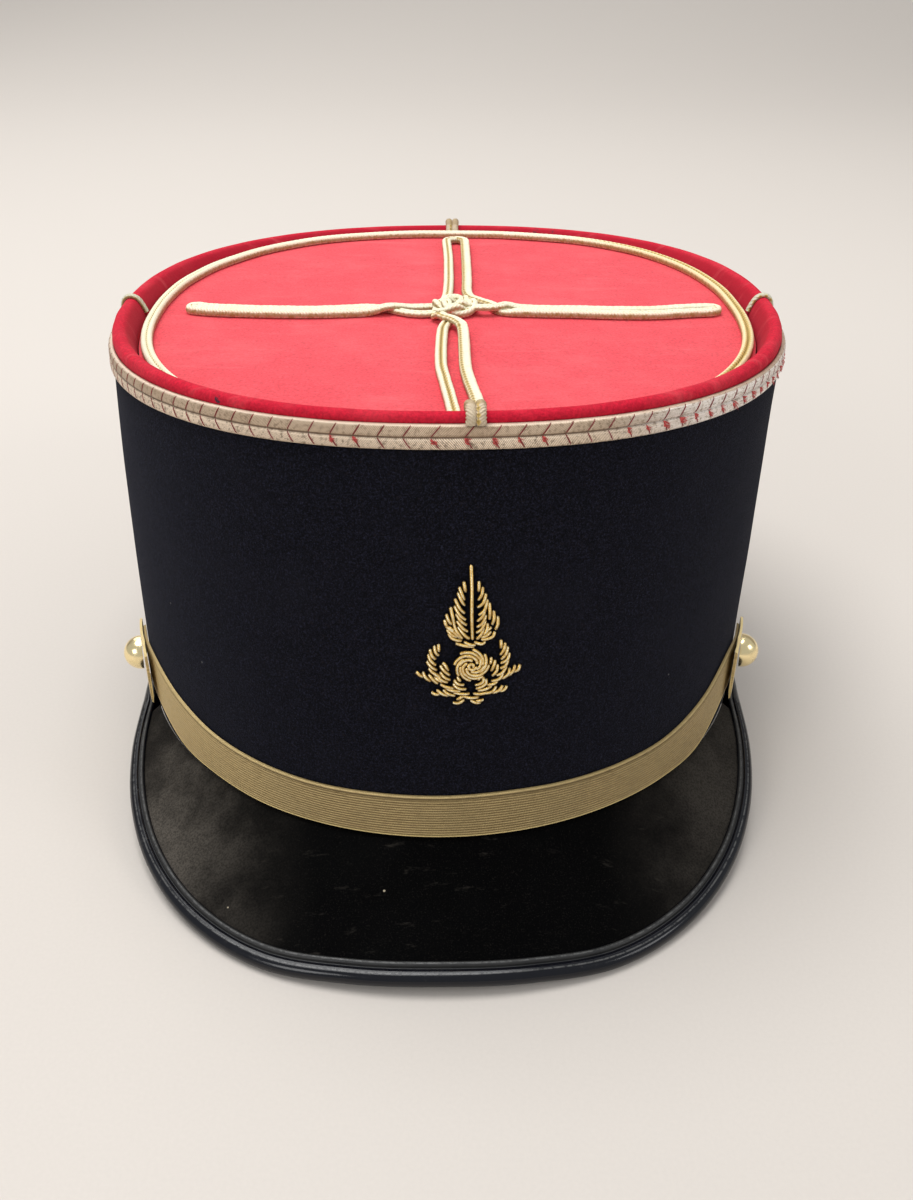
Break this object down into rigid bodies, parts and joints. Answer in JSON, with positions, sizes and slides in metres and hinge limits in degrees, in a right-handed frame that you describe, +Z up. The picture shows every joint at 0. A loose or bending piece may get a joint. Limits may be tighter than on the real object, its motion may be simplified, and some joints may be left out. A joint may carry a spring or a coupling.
{
  "type": "kepi cap",
  "caption": "Peaked cap with a black wool side wall, a sunk red top with a gold cord cross, an embroidered badge, a gold strap and a black leather peak.",
  "frame": {"origin": "centre of the cap's bounding box, on the table that it lies on", "axes": "+Z up, the peak toward -Y, the wearer's left toward +X"},
  "size_m": [0.1805, 0.2504, 0.1197],
  "materials": {
    "black_wool": "matte felted wool",
    "red_cloth": "matte felted wool",
    "metal_braid": "dull metal thread",
    "gold_cord": "satin metal thread",
    "gold_bullion": "satin metal thread",
    "gold_ribbon": "ribbed satin metal thread",
    "peak_leather": "worn matte",
    "peak_bead": "glossy",
    "brass": "polished"
  },
  "bodies": {
    "root": {"side_wall": "black_wool", "top_disc": "red_cloth", "rim_roll": "red_cloth", "chevron_braid": "metal_braid", "oval_cord": "gold_cord", "left_arm": "gold_cord", "right_arm": "gold_cord", "back_arm": "gold_cord", "front_strand_left": "gold_cord", "front_strand_right": "gold_cord", "centre_knot": "gold_cord", "front_stub": "gold_cord", "back_stub": "gold_cord", "left_loop": "gold_cord", "right_loop": "gold_cord", "badge_quill": "gold_bullion", "badge_flame_left": "gold_bullion", "badge_flame_right": "gold_bullion", "badge_ball": "gold_bullion", "badge_sprig_left": "gold_bullion", "badge_sprig_right": "gold_bullion", "chin_strap": "gold_ribbon", "strap_tab_left": "gold_ribbon", "strap_tab_right": "gold_ribbon", "button_left": "brass", "button_right": "brass", "peak": "peak_leather", "peak_binding": "peak_bead"}
  },
  "joints": []
}
